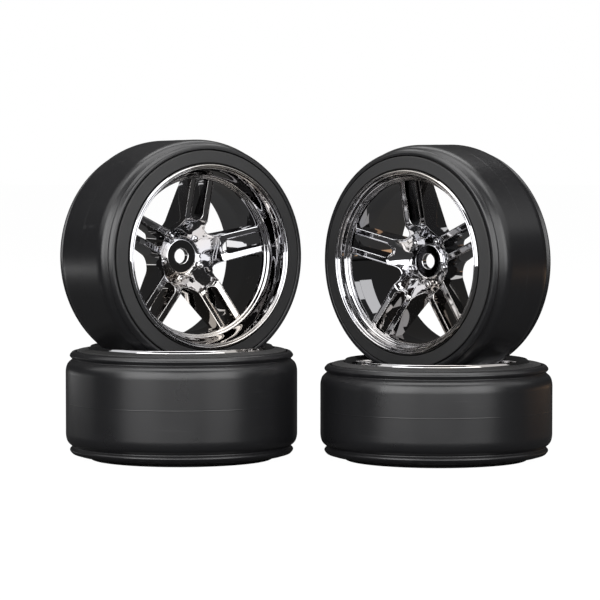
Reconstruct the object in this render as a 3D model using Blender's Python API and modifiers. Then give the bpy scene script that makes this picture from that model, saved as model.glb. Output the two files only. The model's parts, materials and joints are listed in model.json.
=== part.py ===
"""Set of four 1:10 drift wheels in two stacks: two rear and two front, one lying and one standing in each.

Every wheel is built lying on the XY plane around its own centre, with its axle along +Z and its open,
spoked face upwards. An empty then carries it to its place. Metres, +Z up, the row of stacks along X.
"""

import math
from dataclasses import dataclass

import bmesh
import bpy
from mathutils import Euler, Matrix, Vector

COLLECTION_NAME = "drift_wheel_set"
GAP = 0.0003
MERGE_DISTANCE = 0.00001
WELD_DISTANCE = 0.000001

# Tyre and drift ring, the same section on every wheel.
TREAD_RADIUS = 0.0328
BEAD_RADIUS = 0.0316
BEAD_DROP = 0.0006
BEAD_DEPTH = 0.0018
BEAD_SLANT = 0.0007
CREASE_RADIUS = 0.0312
CREASE_DEPTH = 0.0028
RING_LIP_RADIUS = 0.02995
RING_BORE_RADIUS = 0.0307
SIDEWALL_RADIUS = RING_LIP_RADIUS - GAP
CARCASS_RADIUS = RING_BORE_RADIUS - GAP
SHOULDER_LENGTH = 0.0050
CARCASS_WALL = 0.0015
SIDEWALL_THICKNESS = 0.0027
SIDEWALL_RISE = 0.0004
SIDEWALL_DROP = 0.0002

# Rim barrel.
FLANGE_RADIUS = 0.02605
FLANGE_RISE = 0.0011
FLANGE_EDGE = 0.0004
FLANGE_FOOT = 0.0007
CREST_RADIUS = 0.0253
CREST_WIDTH = 0.0006
LIP_INNER_RADIUS = 0.0246
SEAT_RADIUS = 0.0252
SEAT_LENGTH = 0.003
BACK_BORE_RADIUS = 0.0243
BACK_BORE_INSET = 0.0006
BARREL_WALL = 0.0014
BARREL_TAPER = 0.0004
SPOKE_SEAT_MARGIN = 0.0010
DISH_FOOT_DROP = 0.0002

# Hub and spokes.
AXLE_HOLE_RADIUS = 0.0021
BOSS_RADIUS = 0.0051
BOSS_RISE = 0.0006
HUB_RADIUS = 0.0079
HUB_LENGTH = 0.0062
HEX_ACROSS_FLATS = 0.0122
HEX_DEPTH = 0.0045
SPOKE_BACK_INSET = 0.0010
PAIR_COUNT = 5
BEAM_WIDTH = 0.0019
BEAM_OFFSET = 0.00285
BEAM_DEPTH = 0.0058
SPOKE_SLOPE = 0.16
KNEE_RADIUS = 0.0107
KNEE_SLOPE = 1.45
SLOT_END = 0.0105
SPOKE_REACH = 0.026
BLANK_HEIGHT = 0.035
VALLEY_RADIUS = 0.0089
VALLEY_STEPS = 4
SLOT_STEPS = 4

# Lug nuts.
LUG_CIRCLE_RADIUS = 0.0066
LUG_RADIUS = 0.0011
LUG_HEIGHT = 0.0016
LUG_SIDES = 6
LUG_SHOULDER_SHARE = 0.7
LUG_CROWN_INSET = 0.35

TURN_STEPS = 28
HUB_STEPS = 24
INSERT_STEPS = 20


@dataclass(frozen=True)
class WheelType:
    """Sizes that differ between the rear and the front wheel."""

    width: float
    tip_radius: float
    tip_height: float
    hub_height: float

    @property
    def half(self):
        """Half the width over the sidewalls."""
        return self.width / 2

    def spoke_front(self, radius):
        """Height of the spokes' front face at a radius: a gentle slope, then a steep one inside the knee."""
        outside_knee = max(radius, KNEE_RADIUS)
        gentle = self.tip_height - SPOKE_SLOPE * (self.tip_radius - outside_knee)
        return gentle - KNEE_SLOPE * (outside_knee - radius)


REAR = WheelType(width=0.0300, tip_radius=0.0217, tip_height=0.0084, hub_height=0.0)
FRONT = WheelType(width=0.0263, tip_radius=0.0228, tip_height=0.0103, hub_height=0.0036)


@dataclass(frozen=True)
class Placement:
    """Where one wheel sits: its centre, then how it is turned from lying flat."""

    name: str
    wheel: WheelType
    centre: tuple
    yaw: float = 0.0
    tilt: float = 90.0
    roll: float = 0.0


REAR_X, REAR_Y = -0.03567, 0.00138
FRONT_X, FRONT_Y = 0.03643, -0.00122
REAR_UPPER_Z = 0.0574
FRONT_UPPER_Z = 0.0561

PLACEMENTS = (
    Placement("rear_lower", REAR, (REAR_X, REAR_Y, REAR.half + FLANGE_RISE), roll=20.0),
    Placement("rear_upper", REAR, (REAR_X, REAR_Y, REAR_UPPER_Z), yaw=33.1, tilt=1.3, roll=-6.0),
    Placement("front_lower", FRONT, (FRONT_X, FRONT_Y, FRONT.half + FLANGE_RISE), roll=-12.0),
    Placement("front_upper", FRONT, (FRONT_X, 0.0, FRONT_UPPER_Z), yaw=-41.8, tilt=0.0, roll=4.0),
)

COLOURS = {
    "black_chrome": ((0.10, 0.10, 0.11), 0.12, 1.0),
    "drift_ring": ((0.022, 0.022, 0.024), 0.32, 0.0),
    "tyre_rubber": ((0.028, 0.028, 0.029), 0.62, 0.0),
    "foam": ((0.16, 0.16, 0.17), 0.95, 0.0),
}


def clear_scene():
    """Remove every object of the scene."""
    for existing in list(bpy.data.objects):
        bpy.data.objects.remove(existing, do_unlink=True)


def make_collection(name, parent):
    """Make a collection inside another."""
    made = bpy.data.collections.new(name)
    parent.children.link(made)
    return made


def make_material(name):
    """Make the Principled material of one of the named colours."""
    colour, roughness, metallic = COLOURS[name]
    made = bpy.data.materials.new(name)
    made.use_nodes = True
    shader = made.node_tree.nodes["Principled BSDF"]
    shader.inputs["Base Color"].default_value = (*colour, 1.0)
    shader.inputs["Roughness"].default_value = roughness
    shader.inputs["Metallic"].default_value = metallic
    return made


def new_object(name, data, collection, material=None):
    """Put data into a new object of a collection."""
    made = bpy.data.objects.new(name, data)
    collection.objects.link(made)
    if material is not None:
        data.materials.append(material)
    return made


def turned(name, profile, collection, material=None, steps=TURN_STEPS):
    """Turn a closed profile of (radius, height) points around Z with a Screw modifier.

    The points go down the outer side and up the inner side.
    """
    mesh = bpy.data.meshes.new(name)
    shape = bmesh.new()
    points = [shape.verts.new((radius, 0.0, height)) for radius, height in profile]
    for first, second in zip(points, points[1:] + points[:1]):
        shape.edges.new((first, second))
    shape.to_mesh(mesh)
    shape.free()
    made = new_object(name, mesh, collection, material)
    screw = made.modifiers.new("turn", "SCREW")
    screw.steps = steps
    screw.render_steps = steps
    screw.use_merge_vertices = True
    screw.merge_threshold = MERGE_DISTANCE
    screw.use_smooth_shade = True
    return made


def cut_by(target, cutter, operation):
    """Add an exact Boolean modifier and hide the cutter."""
    boolean = target.modifiers.new(operation.lower(), "BOOLEAN")
    boolean.operation = operation
    boolean.solver = "EXACT"
    boolean.object = cutter
    cutter.hide_render = True
    cutter.display_type = "WIRE"


def mesh_from_curve(curve_object, collection):
    """Replace a curve object with its mesh, caps welded."""
    graph = bpy.context.evaluated_depsgraph_get()
    mesh = bpy.data.meshes.new_from_object(curve_object.evaluated_get(graph))
    shape = bmesh.new()
    shape.from_mesh(mesh)
    bmesh.ops.remove_doubles(shape, verts=shape.verts, dist=WELD_DISTANCE)
    bmesh.ops.recalc_face_normals(shape, faces=shape.faces)
    shape.to_mesh(mesh)
    shape.free()
    made = new_object(curve_object.name + "_solid", mesh, collection)
    made.matrix_world = curve_object.matrix_world.copy()
    bpy.data.objects.remove(curve_object, do_unlink=True)
    return made


def rim_profile(wheel):
    """Closed section of the rim barrel: flange, seat, drop centre and back flange, then dish and bore."""
    half = wheel.half
    crest = half + FLANGE_RISE
    waist = wheel.tip_radius + BARREL_WALL
    outer = [
        (CREST_RADIUS + CREST_WIDTH / 2, crest),
        (FLANGE_RADIUS, half + FLANGE_EDGE),
        (FLANGE_RADIUS, half - FLANGE_EDGE),
        (SEAT_RADIUS, half - FLANGE_FOOT),
        (SEAT_RADIUS, half - SEAT_LENGTH),
        (waist, wheel.tip_height - SPOKE_SEAT_MARGIN),
        (SEAT_RADIUS, SEAT_LENGTH - half),
        (SEAT_RADIUS, FLANGE_FOOT - half),
        (FLANGE_RADIUS, FLANGE_EDGE - half),
        (FLANGE_RADIUS, -FLANGE_EDGE - half),
        (CREST_RADIUS + CREST_WIDTH / 2, -crest),
    ]
    inner = [
        (CREST_RADIUS - CREST_WIDTH / 2, -crest),
        (BACK_BORE_RADIUS, BACK_BORE_INSET - half),
        (wheel.tip_radius + BARREL_TAPER, wheel.tip_height - BEAM_DEPTH - SPOKE_SEAT_MARGIN),
        (wheel.tip_radius, wheel.tip_height - DISH_FOOT_DROP),
        (LIP_INNER_RADIUS, half + FLANGE_EDGE),
        (CREST_RADIUS - CREST_WIDTH / 2, crest),
    ]
    return outer + inner


def ring_profile(wheel):
    """Closed section of the hard drift ring: flat tread, round shoulder, crease, bead and a lip inside."""
    half = wheel.half
    outer = [
        (RING_LIP_RADIUS, half - BEAD_DROP),
        (BEAD_RADIUS - BEAD_SLANT, half - BEAD_DROP),
        (BEAD_RADIUS, half - BEAD_DEPTH),
        (CREASE_RADIUS, half - CREASE_DEPTH),
        (TREAD_RADIUS, half - SHOULDER_LENGTH),
    ]
    lip_back = half - SIDEWALL_THICKNESS + GAP
    inner = [(RING_BORE_RADIUS, lip_back), (RING_LIP_RADIUS, lip_back)]
    lower = [(radius, -height) for radius, height in reversed(outer)]
    return outer + lower + [(radius, -height) for radius, height in reversed(inner)] + inner


def tyre_profile(wheel):
    """Closed C-shaped section of the rubber tyre, from sidewall to sidewall, open to the rim."""
    half = wheel.half
    bore = SEAT_RADIUS + GAP
    inside = half - SIDEWALL_THICKNESS
    outer = [
        (FLANGE_RADIUS + GAP, half + SIDEWALL_RISE),
        (SIDEWALL_RADIUS, half - SIDEWALL_DROP),
        (SIDEWALL_RADIUS, inside),
        (CARCASS_RADIUS, inside),
    ]
    inner = [
        (CARCASS_RADIUS - CARCASS_WALL, inside),
        (bore, inside),
        (bore, half - FLANGE_FOOT - GAP),
        (FLANGE_RADIUS + GAP, half - FLANGE_FOOT - GAP),
    ]
    lower = [(radius, -height) for radius, height in reversed(outer)]
    return outer + lower + [(radius, -height) for radius, height in reversed(inner)] + inner


def insert_profile(wheel):
    """Closed section of the foam insert between the rim and the tyre."""
    top = wheel.half - SIDEWALL_THICKNESS - GAP
    outer_radius = CARCASS_RADIUS - CARCASS_WALL - GAP
    inner_radius = SEAT_RADIUS + GAP
    return [(outer_radius, top), (outer_radius, -top), (inner_radius, -top), (inner_radius, top)]


def hub_profile(wheel):
    """Closed section of the hub: a cylinder with a raised boss round the axle hole."""
    face = wheel.hub_height
    return [
        (HUB_RADIUS, face - BOSS_RISE),
        (HUB_RADIUS, face - HUB_LENGTH),
        (AXLE_HOLE_RADIUS, face - HUB_LENGTH),
        (AXLE_HOLE_RADIUS, face),
        (BOSS_RADIUS, face),
        (BOSS_RADIUS, face - BOSS_RISE),
    ]


def spoke_envelope_profile(wheel):
    """Closed section that trims the spokes to their sloping front and back faces."""
    inner_radius = HUB_RADIUS + GAP
    outer_radius = wheel.tip_radius - GAP
    inner_front = wheel.spoke_front(inner_radius)
    outer_front = wheel.spoke_front(outer_radius)
    inner_back = wheel.hub_height - HUB_LENGTH + SPOKE_BACK_INSET
    return [
        (KNEE_RADIUS, wheel.spoke_front(KNEE_RADIUS)),
        (outer_radius, outer_front),
        (outer_radius, outer_front - BEAM_DEPTH),
        (inner_radius, inner_back),
        (inner_radius, inner_front),
    ]


def turned_about_axle(point, angle):
    """Turn a flat point about the axle, from +Y towards +X."""
    x, y = point
    return (x * math.cos(angle) + y * math.sin(angle), y * math.cos(angle) - x * math.sin(angle))


def sector_outline():
    """One fifth of the spoke outline: a round valley, then a pair of beams along +Y and the slot between."""
    side = BEAM_OFFSET + BEAM_WIDTH / 2
    slot = BEAM_OFFSET - BEAM_WIDTH / 2
    half_sector = math.pi / PAIR_COUNT
    spread = math.sin(half_sector)
    fillet = (VALLEY_RADIUS * spread - side) / (1 - spread)
    middle = (side + fillet) / spread
    points = []
    for index in range(VALLEY_STEPS + 1):
        swing = (math.pi / 2 - half_sector) * (2 * index / VALLEY_STEPS - 1)
        valley = (fillet * math.sin(swing), middle - fillet * math.cos(swing))
        points.append(turned_about_axle(valley, -half_sector))
    points += [(-side, SPOKE_REACH), (-slot, SPOKE_REACH)]
    for index in range(SLOT_STEPS + 1):
        angle = math.pi * index / SLOT_STEPS
        points.append((-slot * math.cos(angle), SLOT_END + slot - slot * math.sin(angle)))
    return points + [(slot, SPOKE_REACH), (side, SPOKE_REACH)]


def spoke_blank(name, height, collection):
    """Extruded blank of the whole spider, with a round hole for the hub."""
    curve = bpy.data.curves.new(name, "CURVE")
    curve.dimensions = "2D"
    curve.fill_mode = "BOTH"
    curve.extrude = height / 2
    star = []
    for index in range(PAIR_COUNT):
        star += [turned_about_axle(point, 2 * math.pi * index / PAIR_COUNT) for point in sector_outline()]
    rim = (0.0, HUB_RADIUS - GAP)
    hole = [turned_about_axle(rim, 2 * math.pi * index / HUB_STEPS) for index in range(HUB_STEPS)]
    for outline in (star, hole):
        spline = curve.splines.new("POLY")
        spline.points.add(len(outline) - 1)
        for point, (x, y) in zip(spline.points, outline):
            point.co = (x, y, 0.0, 1.0)
        spline.use_cyclic_u = True
    return mesh_from_curve(new_object(name, curve, collection), collection)


def make_spokes(name, wheel, parts, cutters, material):
    """Spider of five pairs of beams, trimmed by the turned envelope."""
    blank = spoke_blank(name + "_blank", BLANK_HEIGHT, cutters)
    mesh = blank.data
    bpy.data.objects.remove(blank, do_unlink=True)
    spokes = new_object(name, mesh, parts, material)
    envelope = turned(name + "_envelope", spoke_envelope_profile(wheel), cutters, steps=HUB_STEPS)
    cut_by(spokes, envelope, "INTERSECT")
    return spokes, envelope


def make_lug_nuts(name, wheel, cutters):
    """Five six-sided nuts with a smaller crown, sunk a little into the hub for a union with it."""
    mesh = bpy.data.meshes.new(name)
    shape = bmesh.new()
    foot = wheel.hub_height - 2 * BOSS_RISE
    shoulder = wheel.hub_height - BOSS_RISE + LUG_SHOULDER_SHARE * LUG_HEIGHT
    for index in range(PAIR_COUNT):
        angle = math.pi / 2 + math.pi / PAIR_COUNT * (2 * index + 1)
        place = Vector((LUG_CIRCLE_RADIUS * math.cos(angle), LUG_CIRCLE_RADIUS * math.sin(angle), 0.0))
        place.z = (foot + shoulder) / 2
        bmesh.ops.create_cone(
            shape,
            cap_ends=True,
            segments=LUG_SIDES,
            radius1=LUG_RADIUS,
            radius2=LUG_RADIUS,
            depth=shoulder - foot,
            matrix=Matrix.Translation(place) @ Matrix.Rotation(angle, 4, "Z"),
        )
    shape.normal_update()
    heads = [face for face in shape.faces if face.normal.z > 0.9]
    bmesh.ops.inset_individual(shape, faces=heads, thickness=LUG_CROWN_INSET * LUG_RADIUS)
    bmesh.ops.translate(
        shape,
        verts=list({vertex for face in heads for vertex in face.verts}),
        vec=(0.0, 0.0, (1 - LUG_SHOULDER_SHARE) * LUG_HEIGHT),
    )
    shape.to_mesh(mesh)
    shape.free()
    return new_object(name, mesh, cutters)


def make_hexagon(name, wheel, cutters):
    """Six-sided cutter for the socket in the back of the hub."""
    mesh = bpy.data.meshes.new(name)
    shape = bmesh.new()
    bmesh.ops.create_cone(
        shape,
        cap_ends=True,
        segments=6,
        radius1=HEX_ACROSS_FLATS / math.sqrt(3),
        radius2=HEX_ACROSS_FLATS / math.sqrt(3),
        depth=2 * HEX_DEPTH,
        matrix=Matrix.Translation((0.0, 0.0, wheel.hub_height - HUB_LENGTH)),
    )
    shape.to_mesh(mesh)
    shape.free()
    return new_object(name, mesh, cutters)


def make_hub(name, wheel, parts, cutters, material):
    """Hub with its axle hole, its moulded lug nuts and a hexagon socket cut from the back."""
    hub = turned(name, hub_profile(wheel), parts, material, HUB_STEPS)
    lug_nuts = make_lug_nuts(name + "_lug_nuts", wheel, cutters)
    hexagon = make_hexagon(name + "_hexagon", wheel, cutters)
    cut_by(hub, lug_nuts, "UNION")
    cut_by(hub, hexagon, "DIFFERENCE")
    return hub, lug_nuts, hexagon


def build_wheel(placement, parts, cutters, materials):
    """Build one wheel around its own centre, then carry all of it with an empty."""
    wheel = placement.wheel
    prefix = placement.name + "_"
    chrome = materials["black_chrome"]
    carried = [
        turned(prefix + "rim_barrel", rim_profile(wheel), parts, chrome),
        turned(prefix + "drift_ring", ring_profile(wheel), parts, materials["drift_ring"]),
        turned(prefix + "tyre", tyre_profile(wheel), parts, materials["tyre_rubber"]),
        turned(prefix + "foam_insert", insert_profile(wheel), parts, materials["foam"], INSERT_STEPS),
    ]
    carried += make_hub(prefix + "hub", wheel, parts, cutters, chrome)
    carried += make_spokes(prefix + "spokes", wheel, parts, cutters, chrome)
    axle = bpy.data.objects.new(prefix + "axle", None)
    parts.objects.link(axle)
    stand = Euler((math.radians(90.0 - placement.tilt), 0.0, math.radians(placement.yaw))).to_matrix()
    spin = Matrix.Rotation(math.radians(placement.roll), 3, "Z")
    axle.matrix_world = Matrix.Translation(placement.centre) @ (stand @ spin).to_4x4()
    for piece in carried:
        piece.parent = axle
    return axle


def main():
    """Build the four wheels."""
    clear_scene()
    parts = make_collection(COLLECTION_NAME, bpy.context.scene.collection)
    cutters = make_collection("cutters", bpy.context.scene.collection)
    materials = {name: make_material(name) for name in COLOURS}
    for placement in PLACEMENTS:
        build_wheel(placement, parts, cutters, materials)
    bpy.context.view_layer.update()


main()
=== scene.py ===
"""Looks of a set of four model car drift wheels, two rear and two front, in two stacks of two.

Every wheel is modelled around its own centre, with its axle along +Z and its spoked face upwards, and is then
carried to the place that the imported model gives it. Metres throughout.
"""

import json
import logging
import math
from collections.abc import Callable
from dataclasses import dataclass, field
from enum import Enum

import bmesh
import bpy
from mathutils import Matrix, Vector


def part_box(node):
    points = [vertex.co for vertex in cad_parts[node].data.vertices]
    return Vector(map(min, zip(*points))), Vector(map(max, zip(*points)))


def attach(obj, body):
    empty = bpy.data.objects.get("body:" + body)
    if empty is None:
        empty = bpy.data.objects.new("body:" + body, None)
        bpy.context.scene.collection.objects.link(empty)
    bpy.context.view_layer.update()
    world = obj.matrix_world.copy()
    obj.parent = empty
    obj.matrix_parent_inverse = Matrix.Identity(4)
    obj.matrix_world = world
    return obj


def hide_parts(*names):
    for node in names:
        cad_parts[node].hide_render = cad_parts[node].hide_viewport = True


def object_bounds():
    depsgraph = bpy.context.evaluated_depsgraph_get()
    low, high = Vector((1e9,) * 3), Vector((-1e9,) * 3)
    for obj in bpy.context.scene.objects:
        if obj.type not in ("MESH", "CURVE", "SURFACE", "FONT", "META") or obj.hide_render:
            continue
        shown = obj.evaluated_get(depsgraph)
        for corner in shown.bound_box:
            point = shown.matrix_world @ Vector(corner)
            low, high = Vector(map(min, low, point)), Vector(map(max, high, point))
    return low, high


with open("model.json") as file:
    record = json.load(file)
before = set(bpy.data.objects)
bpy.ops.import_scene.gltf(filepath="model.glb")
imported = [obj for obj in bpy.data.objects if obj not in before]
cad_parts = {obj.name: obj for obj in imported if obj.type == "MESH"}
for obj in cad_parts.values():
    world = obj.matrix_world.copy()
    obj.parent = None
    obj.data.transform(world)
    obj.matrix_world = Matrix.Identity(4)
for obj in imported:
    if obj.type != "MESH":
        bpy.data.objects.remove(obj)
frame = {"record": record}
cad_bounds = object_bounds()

logging.basicConfig(level=logging.INFO, format="%(message)s")
LOG = logging.getLogger("drift_wheels")

MM = 0.001
TURN_STEPS = 192
MERGE_DISTANCE = 0.002 * MM
SHARP_ANGLE = math.radians(32.0)
Outline = list[tuple[float, float]]
Range = tuple[float, float]
Socket = bpy.types.NodeSocket
Inputs = dict[str | int, object]
GroupInputs = dict[str, tuple[str, object]]


class Station(Enum):
    """The four wheels, each named as the body that it rides on."""

    REAR_LOWER = "rear_lower"
    REAR_UPPER = "rear_upper"
    FRONT_LOWER = "front_lower"
    FRONT_UPPER = "front_upper"


class Slot(Enum):
    """Material slots of the record."""

    CHROME = "black_chrome"
    RING = "drift_ring"
    RUBBER = "tyre_rubber"
    FOAM = "foam"


@dataclass(frozen=True)
class WheelSize:
    """Sizes that differ between the rear and the front wheel.

    Args:
        width: distance between the two sidewalls.
        tip_radius: radius at which the spokes meet the dish.
        tip_height: height of the spokes' front face there, above the wheel's mid-plane.
        hub_height: height of the boss round the axle hole.
        step: height of each small step at the foot of the dish.
    """

    width: float
    tip_radius: float
    tip_height: float
    hub_height: float
    step: float

    @property
    def half(self) -> float:
        """Half the width."""
        return self.width / 2

    def spoke_front(self, radius: float) -> float:
        """Height of the spokes' front face: a gentle slope, then a steep one inside the knee.

        Args:
            radius: distance from the axle.

        Returns:
            Height above the mid-plane.
        """
        outside_knee = max(radius, Spider.KNEE_RADIUS)
        gentle = self.tip_height - Spider.SLOPE * (self.tip_radius - outside_knee)
        return gentle - Spider.KNEE_SLOPE * (outside_knee - radius)


REAR = WheelSize(30.0 * MM, 21.7 * MM, 8.4 * MM, 0.0, 0.9 * MM)
FRONT = WheelSize(26.3 * MM, 22.8 * MM, 10.3 * MM, 3.6 * MM, 0.5 * MM)


@dataclass(frozen=True)
class Seat:
    """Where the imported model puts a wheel.

    Args:
        station: which of the four wheels it is.
        matrix: carries the wheel from its own frame to its place.
    """

    station: Station
    matrix: Matrix

    @classmethod
    def from_frame(cls, station: Station) -> "Seat":
        """Read a wheel's place from its tyre's box and its hexagon seat.

        Args:
            station: the wheel.

        Returns:
            The seat, whose +Z is the axle outwards and whose +Y is the first pair of spokes.
        """
        low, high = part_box(station.value + "_tyre")
        centre = (low + high) / 2
        mounts = {mount["name"]: mount for mount in frame["record"]["mounts"]}
        hexagon = mounts[station.value + "_hex_seat"]
        axle = -Vector(hexagon["axis"]).normalized()
        towards_spoke = Vector(hexagon["pos_m"]) - centre
        spoke = (towards_spoke - axle * towards_spoke.dot(axle)).normalized()
        turn = Matrix((spoke.cross(axle), spoke, axle)).transposed()
        return cls(station, Matrix.Translation(centre) @ turn.to_4x4())


# ---------------------------------------------------------------------------------------------------------
# Turned shapes
# ---------------------------------------------------------------------------------------------------------


@dataclass(frozen=True)
class Corner:
    """One corner of a turned section.

    Args:
        radius: distance from the axle.
        height: distance along the axle from the mid-plane.
        fillet: how far along its two sides the corner is rounded off; 0 leaves it sharp.
    """

    radius: float
    height: float
    fillet: float = 0.0

    def mirrored(self) -> "Corner":
        """Mirror the corner.

        Returns:
            The same corner on the other side of the mid-plane.
        """
        return Corner(self.radius, -self.height, self.fillet)


@dataclass(frozen=True)
class Section:
    """A closed section, traced through corners in order, that is turned about the axle.

    Args:
        corners: the corners, in order.
        arc_steps: number of stretches in each rounded corner.
        support: distance of the extra points that keep straight stretches flat when shaded smooth.
    """

    corners: tuple[Corner, ...]
    arc_steps: int = 6
    support: float = 0.06 * MM

    def rounded_corner(self, before: Vector, corner: Vector, after: Vector, reach: float) -> list[Vector]:
        """Points of one corner, blended from the side before it to the side after it.

        Args:
            before: the corner before.
            corner: this corner.
            after: the corner after.
            reach: distance along each side that the rounding takes.

        Returns:
            The points, one if the corner is sharp.
        """
        if reach <= 0.0:
            return [corner]
        start = corner + (before - corner).normalized() * min(reach, 0.48 * (before - corner).length)
        end = corner + (after - corner).normalized() * min(reach, 0.48 * (after - corner).length)
        points = []
        for index in range(self.arc_steps + 1):
            share = index / self.arc_steps
            points.append(start.lerp(corner, share).lerp(corner.lerp(end, share), share))
        return points

    def outline(self) -> Outline:
        """Trace the whole section.

        Returns:
            Points as (radius, height), with support points on long straight stretches.
        """
        flat = [Vector((corner.radius, corner.height)) for corner in self.corners]
        traced: list[list[Vector]] = []
        for index, corner in enumerate(self.corners):
            after = flat[(index + 1) % len(flat)]
            traced.append(self.rounded_corner(flat[index - 1], flat[index], after, corner.fillet))
        points: list[Vector] = []
        for index, group in enumerate(traced):
            points += group
            start = group[-1]
            end = traced[(index + 1) % len(traced)][0]
            span = end - start
            if span.length > 4 * self.support:
                points.append(start + span.normalized() * self.support)
                points.append(end - span.normalized() * self.support)
        return [(point.x, point.y) for point in points]


def symmetric(upper: tuple[Corner, ...]) -> tuple[Corner, ...]:
    """Complete a section that is the same on both sides of the mid-plane.

    Args:
        upper: the corners on one side, in order.

    Returns:
        Those corners, then their mirror images back.
    """
    return upper + tuple(corner.mirrored() for corner in reversed(upper))


def finish_shape(shape: bmesh.types.BMesh, name: str, seat: Seat) -> bpy.types.Object:
    """Weld a shape, point its faces outwards, carry it to its place and make it an object at the origin.

    Args:
        shape: the shape, which is freed.
        name: the new object's name.
        seat: the place of its wheel.

    Returns:
        The new object.
    """
    bmesh.ops.remove_doubles(shape, verts=shape.verts, dist=MERGE_DISTANCE)
    bmesh.ops.recalc_face_normals(shape, faces=shape.faces)
    bmesh.ops.transform(shape, matrix=seat.matrix, verts=shape.verts)
    mesh = bpy.data.meshes.new(name)
    shape.to_mesh(mesh)
    shape.free()
    mesh.shade_smooth()
    mesh.set_sharp_from_angle(angle=SHARP_ANGLE)
    made = bpy.data.objects.new(name, mesh)
    bpy.context.scene.collection.objects.link(made)
    return made


def turned_shape(outline: Outline, steps: int = TURN_STEPS) -> bmesh.types.BMesh:
    """Turn a closed outline all the way round the axle.

    Args:
        outline: points as (radius, height).
        steps: number of stretches round the axle.

    Returns:
        The turned shape.
    """
    shape = bmesh.new()
    points = [shape.verts.new((radius, 0.0, height)) for radius, height in outline]
    edges = [shape.edges.new(pair) for pair in zip(points, points[1:] + points[:1])]
    spin(shape, points + edges, 2 * math.pi, steps, use_merge=True)
    return shape


def spin(shape: bmesh.types.BMesh, geom: list, angle: float, steps: int, **settings: bool) -> None:
    """Spin geometry about the axle.

    Args:
        shape: the shape that it belongs to.
        geom: points, edges and faces to spin.
        angle: how far.
        steps: number of stretches or copies.
        settings: use_merge closes the circle, use_duplicate leaves separate copies.
    """
    bmesh.ops.spin(
        shape, geom=geom, cent=(0, 0, 0), axis=(0, 0, 1), dvec=(0, 0, 0), angle=angle, steps=steps, **settings
    )


def all_geometry(shape: bmesh.types.BMesh) -> list:
    """List a shape's points, edges and faces.

    Args:
        shape: the shape.

    Returns:
        All of them.
    """
    return [*shape.verts, *shape.edges, *shape.faces]


def round_edges(shape: bmesh.types.BMesh, edges: list[bmesh.types.BMEdge], offset: float) -> None:
    """Round edges off.

    Args:
        shape: the shape that they belong to.
        edges: the edges.
        offset: distance from each edge that the rounding takes.
    """
    bmesh.ops.bevel(
        shape,
        geom=edges,
        offset=offset,
        offset_type="OFFSET",
        affect="EDGES",
        segments=3,
        profile=0.5,
        material=-1,
        clamp_overlap=True,
    )


def cut(shape: bmesh.types.BMesh, point: tuple, normal: tuple, clear: bool = False) -> None:
    """Cut a shape along a plane.

    Args:
        shape: the shape.
        point: a point of the plane.
        normal: the plane's normal.
        clear: whether the side that the normal points to is taken away.
    """
    bmesh.ops.bisect_plane(
        shape,
        geom=all_geometry(shape),
        dist=0.1 * MERGE_DISTANCE,
        plane_co=point,
        plane_no=normal,
        clear_outer=clear,
    )


# ---------------------------------------------------------------------------------------------------------
# Finishes
# ---------------------------------------------------------------------------------------------------------


class Nodes:
    """Short ways to add and join shader nodes in one node tree."""

    def __init__(self, tree: bpy.types.NodeTree) -> None:
        """Keep the tree that the nodes go into.

        Args:
            tree: the node tree.
        """
        self.tree = tree

    def add(self, kind: str, inputs: Inputs | None = None, **settings: object) -> bpy.types.Node:
        """Add a node.

        Args:
            kind: the node's type name.
            inputs: socket values, or sockets to link from, by socket name or number.
            settings: attributes of the node.

        Returns:
            The node.
        """
        node = self.tree.nodes.new(kind)
        for setting, value in settings.items():
            setattr(node, setting, value)
        for socket, value in (inputs or {}).items():
            if isinstance(value, bpy.types.NodeSocket):
                self.tree.links.new(value, node.inputs[socket])
            else:
                node.inputs[socket].default_value = value
        return node

    def maths(self, operation: str, first: object, second: object, clamp: bool = False) -> Socket:
        """Add a Math node.

        Args:
            operation: what the node works out.
            first: value or socket.
            second: value or socket.
            clamp: whether the result is kept between 0 and 1.

        Returns:
            The result.
        """
        node = self.add("ShaderNodeMath", {0: first, 1: second}, operation=operation, use_clamp=clamp)
        return node.outputs[0]

    def remap(self, value: object, source: Range, target: Range = (0.0, 1.0)) -> Socket:
        """Map a value from one range to another, clamped.

        Args:
            value: the value or socket.
            source: the range that it is in.
            target: the range that it is brought to.

        Returns:
            The mapped value.
        """
        inputs = {"Value": value, "From Min": source[0], "From Max": source[1]}
        inputs |= {"To Min": target[0], "To Max": target[1]}
        return self.add("ShaderNodeMapRange", inputs).outputs["Result"]

    def noise(self, vector: Socket, scale: object, detail: float = 3.0, roughness: float = 0.55) -> Socket:
        """Add a Noise texture.

        Args:
            vector: coordinates.
            scale: features to the metre, as a value or a socket.
            detail: number of finer layers.
            roughness: share of the finer layers.

        Returns:
            The noise, from 0 to 1.
        """
        inputs = {"Vector": vector, "Scale": scale, "Detail": detail, "Roughness": roughness}
        return self.add("ShaderNodeTexNoise", inputs).outputs["Fac"]


def shader_group(name: str, inputs: GroupInputs, outputs: tuple[str, ...]) -> bpy.types.NodeTree:
    """Make an empty shader node group with named sockets.

    Args:
        name: the group's name.
        inputs: socket type and default for each input.
        outputs: name of each output, all of them plain values.

    Returns:
        The group, holding its input and output nodes.
    """
    group = bpy.data.node_groups.new(name, "ShaderNodeTree")
    for label, (kind, default) in inputs.items():
        socket = group.interface.new_socket(name=label, in_out="INPUT", socket_type=kind)
        if default is not None:
            socket.default_value = default
    for label in outputs:
        group.interface.new_socket(name=label, in_out="OUTPUT", socket_type="NodeSocketFloat")
    return group


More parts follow.
